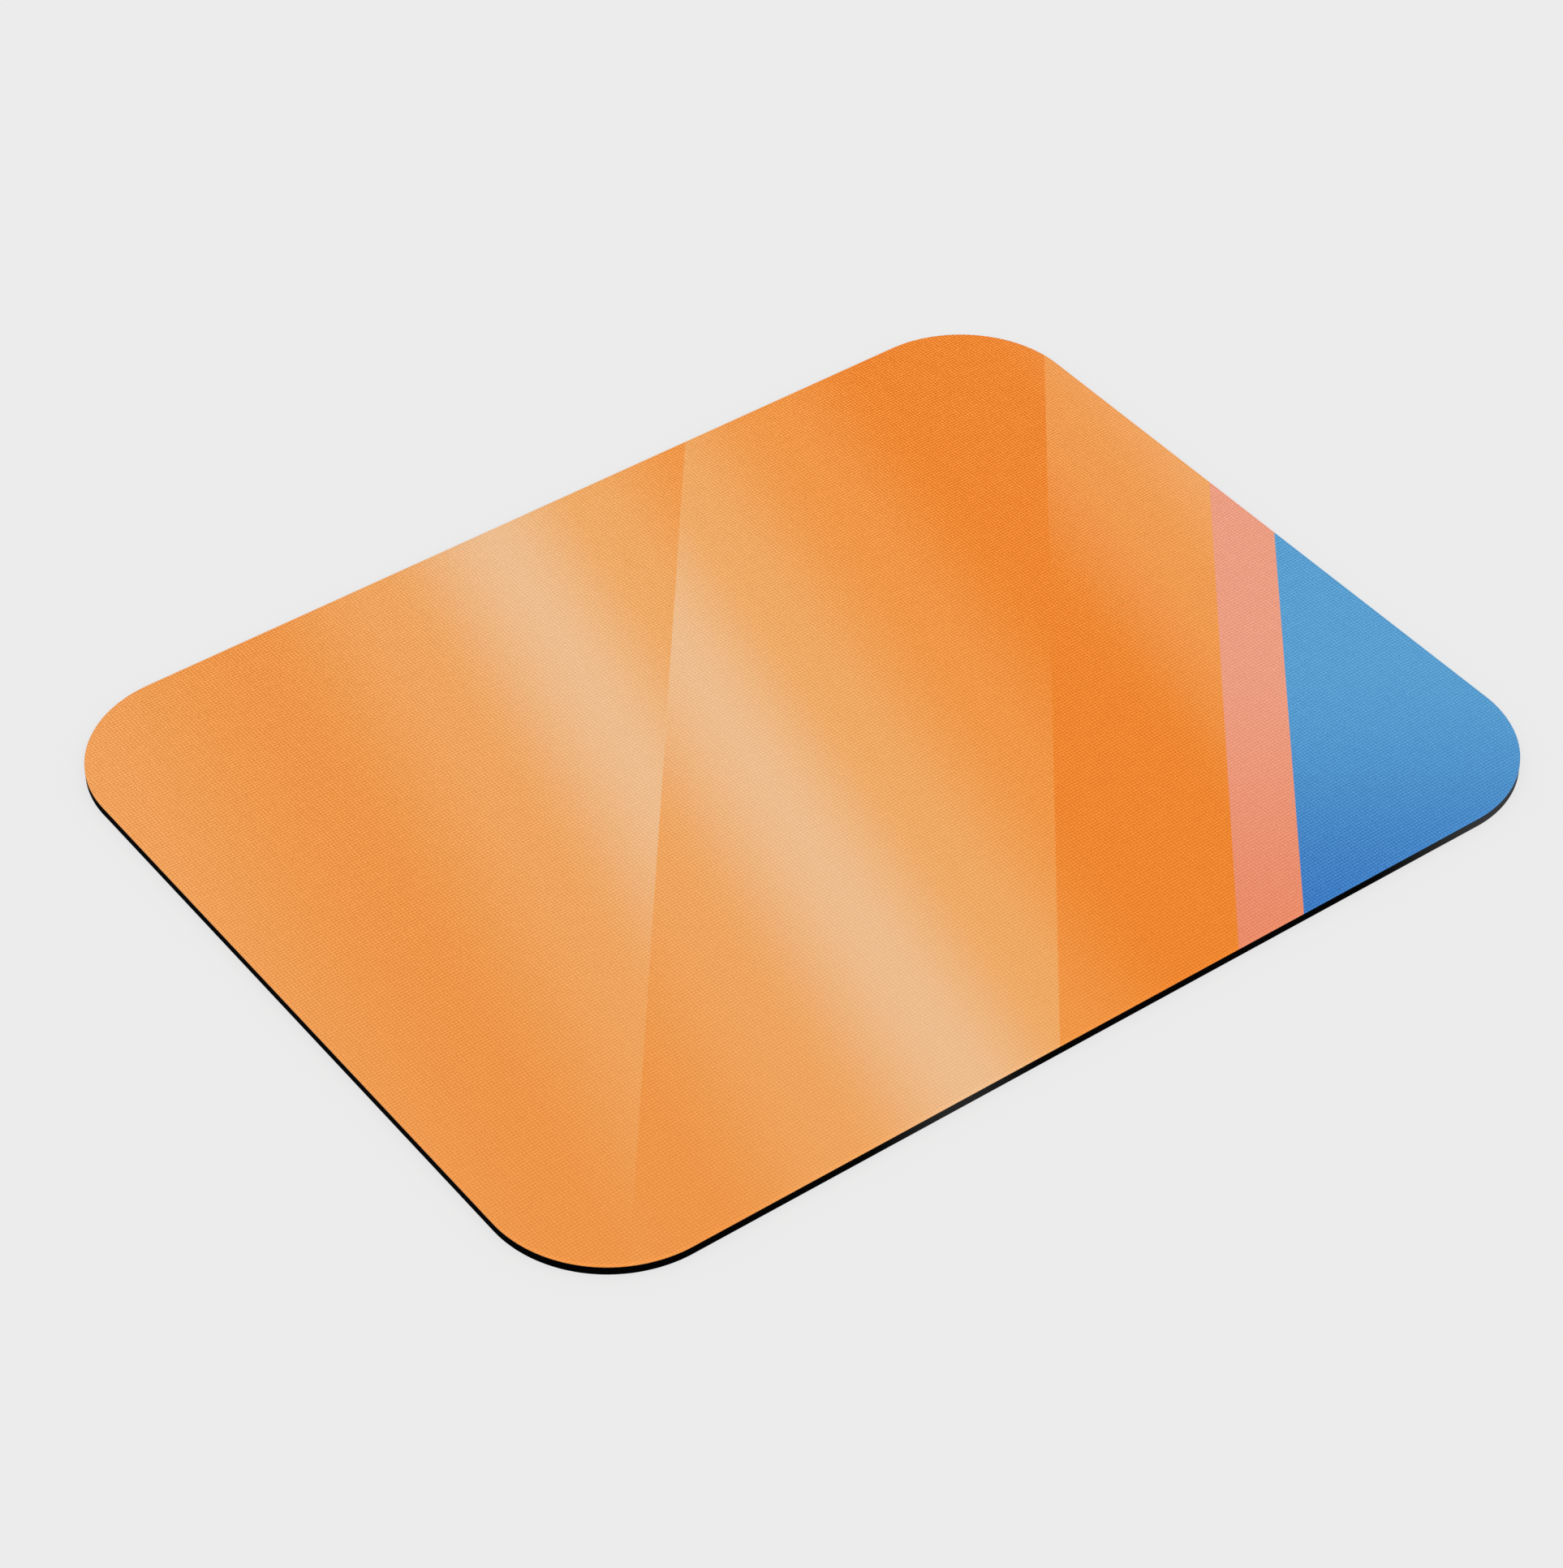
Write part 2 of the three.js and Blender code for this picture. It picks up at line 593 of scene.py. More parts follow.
    def _relief(self, tree: Tree, place: Socket, height: Socket) -> Socket:
        """Adds nodes for the weave's relief, which sets the painted shade and highlight, and what makes it
        uneven.

        Args:
            tree: The material's tree.
            place: The place on the cloth, in metres.
            height: The weave's height.

        Returns:
            The relief, with a mean of 0.
        """
        relief = add_node(tree, MATH, {0: height, 1: -self.weave.mean_height}).outputs[0]
        yarns = (self._slubs(tree, place, 0), self._slubs(tree, place, 1))
        for uneven in (*yarns, self._crossings(tree, place), self._fibre_ends(tree, place)):
            relief = add_node(tree, MATH, {0: relief, 1: uneven}).outputs[0]
        return relief

    def _slubs(self, tree: Tree, place: Socket, axis: int) -> Socket:
        """Adds nodes for single yarns, which are thicker and thinner along their length.

        Args:
            tree: The material's tree.
            place: The place on the cloth, in metres.
            axis: 0 for the yarns along X and 1 for those along Y.

        Returns:
            A relief with a mean of 0.
        """
        stretch = [1 / self.weave.yarn_pitch, 1 / self.weave.yarn_pitch, 0]
        stretch[axis] = 1 / self.slub_length
        scaled = add_node(tree, "ShaderNodeMapping", {"Vector": place, "Scale": stretch}).outputs[0]
        streaks = {"Vector": scaled, "Scale": 1.0, "Detail": 1.0}
        uneven = add_node(tree, NOISE, streaks, noise_dimensions="2D").outputs[0]
        inputs = {"Value": uneven, "From Min": 0.5 - self.slub_spread, "From Max": 0.5 + self.slub_spread}
        inputs |= {"To Min": -self.slub_relief / 2, "To Max": self.slub_relief / 2}
        return add_node(tree, MAP_RANGE, inputs).outputs["Result"]

    def _crossings(self, tree: Tree, place: Socket) -> Socket:
        """Adds nodes for single crossings, no two of which lie quite alike.

        Args:
            tree: The material's tree.
            place: The place on the cloth, in metres.

        Returns:
            A relief with a mean of 0.
        """
        cell = {0: place, 1: (self.weave.yarn_pitch,) * 3}
        cell = add_node(tree, VECTOR_MATH, cell, operation="SNAP").outputs[0]
        in_mm = add_node(tree, VECTOR_MATH, {0: cell, "Scale": 1 / MM}, operation="SCALE").outputs[0]
        chance = {"Vector": in_mm}
        chance = add_node(tree, "ShaderNodeTexWhiteNoise", chance, noise_dimensions="2D").outputs[0]
        inputs = {"Value": chance, "To Min": -self.crossing_relief / 2, "To Max": self.crossing_relief / 2}
        return add_node(tree, MAP_RANGE, inputs).outputs["Result"]

    def _fibre_ends(self, tree: Tree, place: Socket) -> Socket:
        """Adds nodes for the ends of loose fibres.

        Args:
            tree: The material's tree.
            place: The place on the cloth, in metres.

        Returns:
            A relief with a mean of 0.
        """
        fuzz = {"Vector": place, "Scale": 1 / self.fibre_size, "Detail": 1.0}
        ends = add_node(tree, NOISE, fuzz, noise_dimensions="2D").outputs[0]
        inputs = {"Value": ends, "From Min": 0.5 - self.fibre_spread, "From Max": 0.5 + self.fibre_spread}
        inputs |= {"To Min": -self.fibre_relief / 2, "To Max": self.fibre_relief / 2}
        return add_node(tree, MAP_RANGE, inputs).outputs["Result"]


@dataclass(frozen=True)
class SheenPatch:
    """A stretch of the cut edge with a painted sheen: a lighter grey in the base colour that stands in for a
    reflection.

    The middle is its place along X and Y, and the strength is the share of the painted sheen colour there.
    """

    middle: tuple[float, float]
    reach: float
    strength: float


@dataclass(frozen=True)
class CutFoam:
    """Black foam rubber where the die has cut it open, with stretches of painted sheen, a lighter grey in its
    colour.
    """

    wall_colour: str = "#040404"
    cell_colour: str = "#010101"
    # Painted sheen: the lighter grey that stands in for a reflection along the stretches below.
    painted_sheen_colour: str = "#3b3b3c"
    cell_size: float = 0.3 * MM
    cell_depth: float = 0.05 * MM
    grain_size: float = 0.15 * MM
    # Where the painted sheen lies, along the near edge and round the right corner.
    sheen_patches: tuple[SheenPatch, ...] = (
        SheenPatch((-40.5 * MM, -110 * MM), 25 * MM, 0.45),
        SheenPatch((121 * MM, -107 * MM), 46 * MM, 1.0),
    )
    ior: float = 1.52
    gloss: float = 0.004
    roughness: float = 0.7

    def material(self) -> bpy.types.Material:
        """Builds the cut foam's material.

        Returns:
            The material.
        """
        # Cut foam rubber has open cells that trap the light, so it is nearly pure black without a gloss.
        material, tree, shader = new_material("cut_foam_rubber")
        place = add_node(tree, "ShaderNodeTexCoord", {}).outputs["Object"]
        cells = add_node(tree, "ShaderNodeTexVoronoi", {"Vector": place, "Scale": 1 / self.cell_size}).outputs
        grain = add_node(tree, NOISE, {"Vector": place, "Scale": 1 / self.grain_size}).outputs[0]
        tones = {"Factor": cells["Distance"]}
        tones |= {COLOUR_A: linear(self.wall_colour), COLOUR_B: linear(self.cell_colour)}
        colour = add_node(tree, MIX, tones, data_type="RGBA").outputs[MIXED]
        # The sheen stretches are painted: a lighter grey mixed into the base colour where a reflection would
        # show.
        for sheen_patch in self.sheen_patches:
            tones = {"Factor": self._painted_sheen(tree, place, sheen_patch)}
            tones |= {COLOUR_A: colour, COLOUR_B: linear(self.painted_sheen_colour)}
            colour = add_node(tree, MIX, tones, data_type="RGBA").outputs[MIXED]
        relief = add_node(tree, MATH, {0: cells["Distance"], 1: grain}).outputs[0]
        bump = add_node(tree, "ShaderNodeBump", {"Height": relief, "Distance": self.cell_depth})
        surface = {"Base Color": colour, "Normal": bump.outputs["Normal"], "Roughness": self.roughness}
        surface |= {"IOR": self.ior, "Specular IOR Level": self.gloss}
        fill_inputs(tree, shader, surface)
        return material

    def _painted_sheen(self, tree: Tree, place: Socket, sheen_patch: SheenPatch) -> Socket:
        """Adds nodes for the share of painted sheen in one stretch.

        Args:
            tree: The material's tree.
            place: The place on the edge, in metres.
            sheen_patch: The stretch.

        Returns:
            The stretch's strength in its middle, which eases off to 0 at its reach.
        """
        apart = {0: place, 1: (*sheen_patch.middle, 0)}
        apart = add_node(tree, VECTOR_MATH, apart, operation="DISTANCE").outputs["Value"]
        eased = {"Value": apart, "From Max": sheen_patch.reach, "To Min": sheen_patch.strength, "To Max": 0.0}
        return add_node(tree, MAP_RANGE, eased, interpolation_type="SMOOTHSTEP").outputs["Result"]


@dataclass(frozen=True)
class MouldedRubber:
    """Black foam rubber as the mould has left it, with a closed skin that takes the mould's fine grain."""

    colour: str = "#151516"
    worn_colour: str = "#1e1e1f"
    cloud_size: float = 25 * MM
    grain_size: float = 0.35 * MM
    grain_depth: float = 0.02 * MM
    ior: float = 1.52
    gloss: float = 0.4
    smoothest: float = 0.47
    dullest: float = 0.67

    def material(self) -> bpy.types.Material:
        """Builds the moulded rubber's material.

        Returns:
            The material.
        """
        # Moulded rubber is black with a satin gloss, a little greyer and duller where it has been handled.
        material, tree, shader = new_material("moulded_foam_rubber")
        place = add_node(tree, "ShaderNodeTexCoord", {}).outputs["Object"]
        clouds = add_node(tree, NOISE, {"Vector": place, "Scale": 1 / self.cloud_size}).outputs[0]
        grain = {"Vector": place, "Scale": 1 / self.grain_size}
        grain = add_node(tree, "ShaderNodeTexVoronoi", grain).outputs["Distance"]
        tones = {"Factor": clouds, COLOUR_A: linear(self.colour), COLOUR_B: linear(self.worn_colour)}
        colour = add_node(tree, MIX, tones, data_type="RGBA").outputs[MIXED]
        bump = add_node(tree, "ShaderNodeBump", {"Height": grain, "Distance": self.grain_depth})
        rough = {"Value": clouds, "To Min": self.smoothest, "To Max": self.dullest}
        rough = add_node(tree, MAP_RANGE, rough).outputs["Result"]
        surface = {"Base Color": colour, "Normal": bump.outputs["Normal"], "Roughness": rough}
        surface |= {"IOR": self.ior, "Specular IOR Level": self.gloss}
        fill_inputs(tree, shader, surface)
        return material


@dataclass(frozen=True)
class HotMeltFilm:
    """Hot-melt bonding film, rolled between cloth and rubber while it was soft."""

    colour: str = "#0d0c0b"
    thin_colour: str = "#1a1815"
    flow_length: float = 4 * MM
    ior: float = 1.49
    gloss: float = 0.15
    smoothest: float = 0.4
    dullest: float = 0.6

    def material(self) -> bpy.types.Material:
        """Builds the film's material.

        Returns:
            The material.
        """
        # Set hot-melt glue is a dark line, smoother than the foam under it and browner where it is thin.
        material, tree, shader = new_material("hot_melt_film")
        place = add_node(tree, "ShaderNodeTexCoord", {}).outputs["Object"]
        flow = add_node(tree, NOISE, {"Vector": place, "Scale": 1 / self.flow_length}).outputs[0]
        tones = {"Factor": flow, COLOUR_A: linear(self.colour), COLOUR_B: linear(self.thin_colour)}
        colour = add_node(tree, MIX, tones, data_type="RGBA").outputs[MIXED]
        rough = {"Value": flow, "To Min": self.smoothest, "To Max": self.dullest}
        rough = add_node(tree, MAP_RANGE, rough).outputs["Result"]
        surface = {"Base Color": colour, "Roughness": rough, "IOR": self.ior}
        fill_inputs(tree, shader, surface | {"Specular IOR Level": self.gloss})
        return material


@dataclass(frozen=True)
class WavyTread:
    """Wavy grooves moulded into an underside, inside a plain border.

    The groove's width is at its mouth, and the lip is a chamfer of 45 degrees, which widens the mouth. The
    lip's reach is how far up its cutter goes, past where it meets the wall.
    """

    border: float = 4.5 * MM
    pitch: float = 7 * MM
    groove_width: float = 1.6 * MM
    roof_width: float = 1.1 * MM
    depth: float = 0.5 * MM
    roof_fillet: float = 0.15 * MM
    fillet_steps: int = 3
    lip: float = 0.08 * MM
    lip_reach: float = 0.24 * MM
    wave_length: float = 24 * MM
    wave_height: float = 6 * MM
    steps_per_wave: int = 14
    field_corner_steps: int = 24
    overrun: float = 0.3 * MM
    weld_distance: float = 0.001 * MM

    def _rows(self, outline: CutOutline) -> int:
        """How many grooves fit inside the border, an even number."""
        reach = outline.width / 2 - self.border - (self.wave_height + self.groove_width) / 2
        return 2 * round(reach / self.pitch)

    def inputs(self, outline: CutOutline, material: bpy.types.Material) -> dict[str, tuple[str, object]]:
        """Lists the tree's named inputs.

        Args:
            outline: The sheet's outline.
            material: The rubber, which the cut sheet gets.

        Returns:
            For each input's name, its socket type and its value.
        """
        waves = math.ceil(outline.length / self.wave_length) + 1
        slope = (self.groove_width - self.roof_width) / self.depth
        return {
            "Groove Length": ("NodeSocketFloat", waves * self.wave_length),
            "Groove Steps": ("NodeSocketInt", waves * self.steps_per_wave + 1),
            "Wave Turns": ("NodeSocketFloat", 2 * math.pi / self.wave_length),
            "Wave Rise": ("NodeSocketFloat", self.wave_height / 2),
            "Groove Mouth": ("NodeSocketFloat", self.groove_width + slope * self.overrun),
            "Groove Roof": ("NodeSocketFloat", self.roof_width),
            "Groove Depth": ("NodeSocketFloat", self.depth),
            "Roof Fillet": ("NodeSocketFloat", self.roof_fillet),
            "Lip Mouth": ("NodeSocketFloat", self.groove_width + 2 * (self.lip + self.overrun)),
            "Lip Roof": ("NodeSocketFloat", self.groove_width + 2 * (self.lip - self.lip_reach)),
            "Lip Depth": ("NodeSocketFloat", self.lip_reach),
            "Overrun": ("NodeSocketFloat", self.overrun),
            "Row Pitch": ("NodeSocketFloat", self.pitch),
            "Rows": ("NodeSocketInt", self._rows(outline)),
            "First Row": ("NodeSocketFloat", (1 - self._rows(outline)) / 2 * self.pitch),
            "Field Length": ("NodeSocketFloat", outline.length - 2 * self.border),
            "Field Width": ("NodeSocketFloat", outline.width - 2 * self.border),
            "Field Radius": ("NodeSocketFloat", outline.corner_radius - self.border),
            "Rubber": ("NodeSocketMaterial", material),
        }

    def _tree(self, inputs: dict[str, tuple[str, object]]) -> Tree:
        """Builds the tree that cuts the grooves out of a sheet.

        Args:
            inputs: The tree's named inputs.

        Returns:
            The geometry tree.
        """
        tree = bpy.data.node_groups.new("wavy_tread", "GeometryNodeTree")
        tree.interface.new_socket("Sheet", in_out="INPUT", socket_type="NodeSocketGeometry")
        for name, (kind, _) in inputs.items():
            tree.interface.new_socket(name, in_out="INPUT", socket_type=kind)
        tree.interface.new_socket("Sheet", in_out="OUTPUT", socket_type="NodeSocketGeometry")
        given = add_node(tree, "NodeGroupInput", {}).outputs
        path = self._wave(tree, given)
        groove = self._sweep(tree, given, path, "Groove", given["Roof Fillet"])
        lip = self._sweep(tree, given, path, "Lip", 0.0)
        field = self._field(tree, given)
        grooves = self._rows_inside(tree, given, groove, field)
        lips = self._rows_inside(tree, given, lip, field)
        cut = {"Mesh 1": given["Sheet"], "Mesh 2": grooves}
        treaded = add_node(tree, "GeometryNodeMeshBoolean", cut, operation="DIFFERENCE", solver="MANIFOLD")
        tree.links.new(lips, treaded.inputs["Mesh 2"])
        # The walls and lips share their steps, so the cuts leave pairs of vertices almost together.
        paired = {"Geometry": treaded.outputs[0], "Distance": self.weld_distance}
        welded = add_node(tree, "GeometryNodeMergeByDistance", paired).outputs[0]
        real = add_node(tree, "GeometryNodeRealizeInstances", {0: welded}).outputs[0]
        dressed = {"Geometry": real, "Material": given["Rubber"]}
        made = add_node(tree, "GeometryNodeSetMaterial", dressed).outputs[0]
        add_node(tree, "NodeGroupOutput", {"Sheet": made})
        return tree

    def _rows_inside(self, tree: Tree, given: Sockets, row: Socket, field: Socket) -> Socket:
        """Adds nodes for all the rows of one solid, as far as they lie inside the plain border.

        Args:
            tree: The geometry tree.
            given: The tree's named inputs.
            row: The solid of one row.
            field: The space inside the border.

        Returns:
            The closed solids.
        """
        first = add_node(tree, COMBINE, {"Y": given["First Row"]}).outputs[0]
        pitch = add_node(tree, COMBINE, {"Y": given["Row Pitch"]}).outputs[0]
        line = {"Count": given["Rows"], "Start Location": first, "Offset": pitch}
        rows = add_node(tree, "GeometryNodeMeshLine", line).outputs[0]
        placed = add_node(tree, "GeometryNodeInstanceOnPoints", {"Points": rows, "Instance": row})
        real = add_node(tree, "GeometryNodeRealizeInstances", {0: placed.outputs[0]}).outputs[0]
        both = {"Mesh 2": real}
        inside = add_node(tree, "GeometryNodeMeshBoolean", both, operation="INTERSECT", solver="MANIFOLD")
        tree.links.new(field, inside.inputs["Mesh 2"])
        return inside.outputs[0]

    def _wave(self, tree: Tree, given: Sockets) -> Socket:
        """Adds nodes for the path of one groove.

        Args:
            tree: The geometry tree.
            given: The tree's named inputs.

        Returns:
            An even wave through y = 0, longer than the sheet.
        """
        right = add_node(tree, MATH, {0: given["Groove Length"], 1: 0.5}, operation="MULTIPLY").outputs[0]
        left = add_node(tree, MATH, {0: given["Groove Length"], 1: -0.5}, operation="MULTIPLY").outputs[0]
        start = add_node(tree, COMBINE, {"X": left}).outputs[0]
        end = add_node(tree, COMBINE, {"X": right}).outputs[0]
        line = add_node(tree, "GeometryNodeCurvePrimitiveLine", {"Start": start, "End": end}).outputs[0]
        even = {"Curve": line, "Count": given["Groove Steps"]}
        stepped = add_node(tree, "GeometryNodeResampleCurve", even).outputs[0]
        place = add_node(tree, "GeometryNodeInputPosition", {}).outputs[0]
        x = add_node(tree, SPLIT, {0: place}).outputs["X"]
        angle = add_node(tree, MATH, {0: x, 1: given["Wave Turns"]}, operation="MULTIPLY").outputs[0]
        wave = add_node(tree, MATH, {0: angle}, operation="SINE").outputs[0]
        y = add_node(tree, MATH, {0: wave, 1: given["Wave Rise"]}, operation="MULTIPLY").outputs[0]
        moved = {"Geometry": stepped, "Offset": add_node(tree, COMBINE, {"Y": y}).outputs[0]}
        wavy = add_node(tree, "GeometryNodeSetPosition", moved).outputs[0]
        return add_node(tree, "GeometryNodeSetCurveNormal", {"Curve": wavy}, mode="Z_UP").outputs[0]

    def _sweep(self, tree: Tree, given: Sockets, path: Socket, part: str, fillet: float | Socket) -> Socket:
        """Adds nodes for a trapezoid swept along a path, from below the sheet up to a depth inside it.

        It is drawn with its mouth on top, because the sweep turns it over.

        Args:
            tree: The geometry tree.
            given: The tree's named inputs.
            path: The path.
            part: The start of the names of the inputs for its mouth, roof and depth.
            fillet: The round of the trapezoid's corners.

        Returns:
            The closed solid.
        """
        depth, overrun = given[part + " Depth"], given["Overrun"]
        height = add_node(tree, MATH, {0: depth, 1: overrun}).outputs[0]
        below = add_node(tree, MATH, {0: overrun, 1: depth}, operation="SUBTRACT").outputs[0]
        middle = add_node(tree, MATH, {0: below, 1: 0.5}, operation="MULTIPLY").outputs[0]
        sides = {"Height": height, "Bottom Width": given[part + " Roof"], "Top Width": given[part + " Mouth"]}
        sides |= {"Offset": 0.0}
        section = add_node(tree, "GeometryNodeCurvePrimitiveQuadrilateral", sides, mode="TRAPEZOID")
        raised = {"Geometry": section.outputs[0], "Offset": add_node(tree, COMBINE, {"Y": middle}).outputs[0]}
        set_up = add_node(tree, "GeometryNodeSetPosition", raised).outputs[0]
        soft = {"Curve": set_up, "Radius": fillet, "Count": self.fillet_steps, "Limit Radius": True}
        rounded = add_node(tree, "GeometryNodeFilletCurve", soft, mode="POLY").outputs[0]
        swept = {"Curve": path, "Profile Curve": rounded, "Fill Caps": True}
        return add_node(tree, "GeometryNodeCurveToMesh", swept).outputs[0]

    def _field(self, tree: Tree, given: Sockets) -> Socket:
        """Adds nodes for the space inside the plain border, taller than the grooves.

        Args:
            tree: The geometry tree.
            given: The tree's named inputs.

        Returns:
            The closed solid.
        """
        sides = {"Width": given["Field Length"], "Height": given["Field Width"]}
        plain = add_node(tree, "GeometryNodeCurvePrimitiveQuadrilateral", sides).outputs[0]
        soft = {"Curve": plain, "Radius": given["Field Radius"], "Count": self.field_corner_steps}
        rounded = add_node(tree, "GeometryNodeFilletCurve", soft, mode="POLY").outputs[0]
        low = add_node(tree, COMBINE, {"Z": -2 * self.overrun}).outputs[0]
        sunk = add_node(tree, "GeometryNodeSetPosition", {"Geometry": rounded, "Offset": low}).outputs[0]
        face = add_node(tree, "GeometryNodeFillCurve", {"Curve": sunk}, mode="NGONS").outputs[0]
        rise = add_node(tree, COMBINE, {"Z": self.depth + 4 * self.overrun}).outputs[0]
        risen = {"Mesh": face, "Offset": rise, "Offset Scale": 1.0, "Individual": False}
        walls = add_node(tree, "GeometryNodeExtrudeMesh", risen).outputs[0]
        base = add_node(tree, "GeometryNodeFlipFaces", {"Mesh": face}).outputs[0]
        joined = add_node(tree, "GeometryNodeJoinGeometry", {0: walls})
        tree.links.new(base, joined.inputs[0])
        paired = {"Geometry": joined.outputs[0], "Distance": self.weld_distance}
        return add_node(tree, "GeometryNodeMergeByDistance", paired).outputs[0]

    def cut(self, piece: bpy.types.Object, outline: CutOutline, material: bpy.types.Material) -> None:
        """Cuts the tread into a piece, as a plain mesh.

        Args:
            piece: The sheet, whose underside lies at z = 0.
            outline: The sheet's outline.
            material: The rubber, which the cut sheet gets.
        """
        inputs = self.inputs(outline, material)
        tree = self._tree(inputs)
        modifier = piece.modifiers.new("tread", "NODES")
        modifier.node_group = tree
        sockets = {s.name: s.identifier for s in tree.interface.items_tree if s.in_out == "INPUT"}
        for name, (_, value) in inputs.items():
            modifier[sockets[name]] = value
        graph = bpy.context.evaluated_depsgraph_get()
        mesh = bpy.data.meshes.new_from_object(piece.evaluated_get(graph), depsgraph=graph)
        piece.modifiers.remove(modifier)
        piece.data = mesh


@dataclass(frozen=True)
class PrintedCloth:
    """The cloth face: one layer of woven cloth, whose upper rim the die has pressed round."""

    outline: CutOutline
    bottom: float
    top: float
    finish: WovenPolyester
    rim_radius: float = 0.3 * MM
    rim_steps: int = 5
    yarn_relief: float = 0.05 * MM
    crease_angle: float = math.radians(50)
    fine: int = 16

    def build(self) -> bpy.types.Object:
        """Builds the cloth's mesh, with the yarns standing out along its rim.

        Returns:
            The piece, which holds the place of each vertex on the cloth while it was flat.
        """
        mesh = RingMesh(self.outline, self.fine)
        foot = mesh.level_ring(0, self.bottom)
        mesh.fill(foot, self.bottom, Facing.DOWN)
        lower = foot
        for step in range(self.rim_steps + 1):
            angle = step / self.rim_steps * math.pi / 2
            ring = self._rim_ring(mesh, angle)
            mesh.band(lower, ring)
            lower = ring
        inner = mesh.level_ring(2 * self.rim_radius, self.top)
        mesh.band(lower, inner)
        mesh.fill(inner, self.top, Facing.UP)
        piece = mesh.to_object("printed_cloth_face")
        shade_by_angle(piece, self.crease_angle)
        flat = piece.data.attributes.new(self.finish.laid_flat, "FLOAT_VECTOR", "POINT")
        for vertex in piece.data.vertices:
            flat.data[vertex.index].vector = self._flat_place(vertex.co)
        piece.data.materials.append(self.finish.material())
        return piece

    def _flat_place(self, place: Vector) -> Vector:
        """Where a place lay before the die pressed the rim down: further out by what it has sunk."""
        return place + self.outline.outwards_at(place) * (self.top - place.z)

    def _rim_ring(self, mesh: RingMesh, angle: float) -> list[int]:
        """Adds one ring of the round rim, in which the gaps between yarns lie a little deeper.

        Args:
            mesh: The mesh that the ring goes into.
            angle: How far round the rim the ring lies, from level at the side to upright on top.

        Returns:
            The ring's vertices.
        """
        insets, heights = [], []
        for place, _ in mesh.rim:
            sink = self.yarn_relief * (1 - self.finish.weave.height_at(place))
            insets.append(self.rim_radius * (1 - math.cos(angle)) + sink * math.cos(angle))
            heights.append(self.top - self.rim_radius * (1 - math.sin(angle)) - sink * math.sin(angle))
        return mesh.ring(insets, heights)

    def place(self, lies_on: str) -> bpy.types.Object:
        """Args:
            lies_on: The piece that the cloth is bonded to; it is not used.

        Returns:
            The finished piece.
        """
        piece = self.build()
        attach(piece, "root")
        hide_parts("printed_cloth")
        return piece


@dataclass(frozen=True)
class BondingFilm:
    """The hot-melt film between cloth and rubber, pressed a little back or proud along its cut edge."""

    outline: CutOutline
    bottom: float
    top: float
    finish: HotMeltFilm
    recess: float = 0.04 * MM
    waver: float = 0.03 * MM
    waver_length: float = 6 * MM
    crease_angle: float = math.radians(60)
    fine: int = 4

    def build(self) -> bpy.types.Object:
        """Builds the film's mesh.

        Returns:
            The piece.
        """
        mesh = RingMesh(self.outline, self.fine)
        foot = mesh.level_ring(self.recess + self.waver, self.bottom)
        mesh.fill(foot, self.bottom, Facing.DOWN)
        insets = [self._edge_inset(place) for place, _ in mesh.rim]
        middle = mesh.ring(insets, [(self.bottom + self.top) / 2] * len(insets))
        head = mesh.level_ring(self.recess + self.waver, self.top)
        mesh.band(foot, middle)
        mesh.band(middle, head)
        mesh.fill(head, self.top, Facing.UP)
        piece = mesh.to_object("hot_melt_bonding_film")
        shade_by_angle(piece, self.crease_angle)
        piece.data.materials.append(self.finish.material())
        return piece

    def _edge_inset(self, place: Vector) -> float:
        """How far the middle of the film's edge lies inside the outline."""
        return self.recess + self.waver * noise.noise(place / self.waver_length)

    def place(self) -> bpy.types.Object:
        """Builds the film and gives it its body.

        Returns:
            The finished piece.
        """
        piece = self.build()
        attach(piece, "root")
        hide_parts("bonding_film")
        return piece


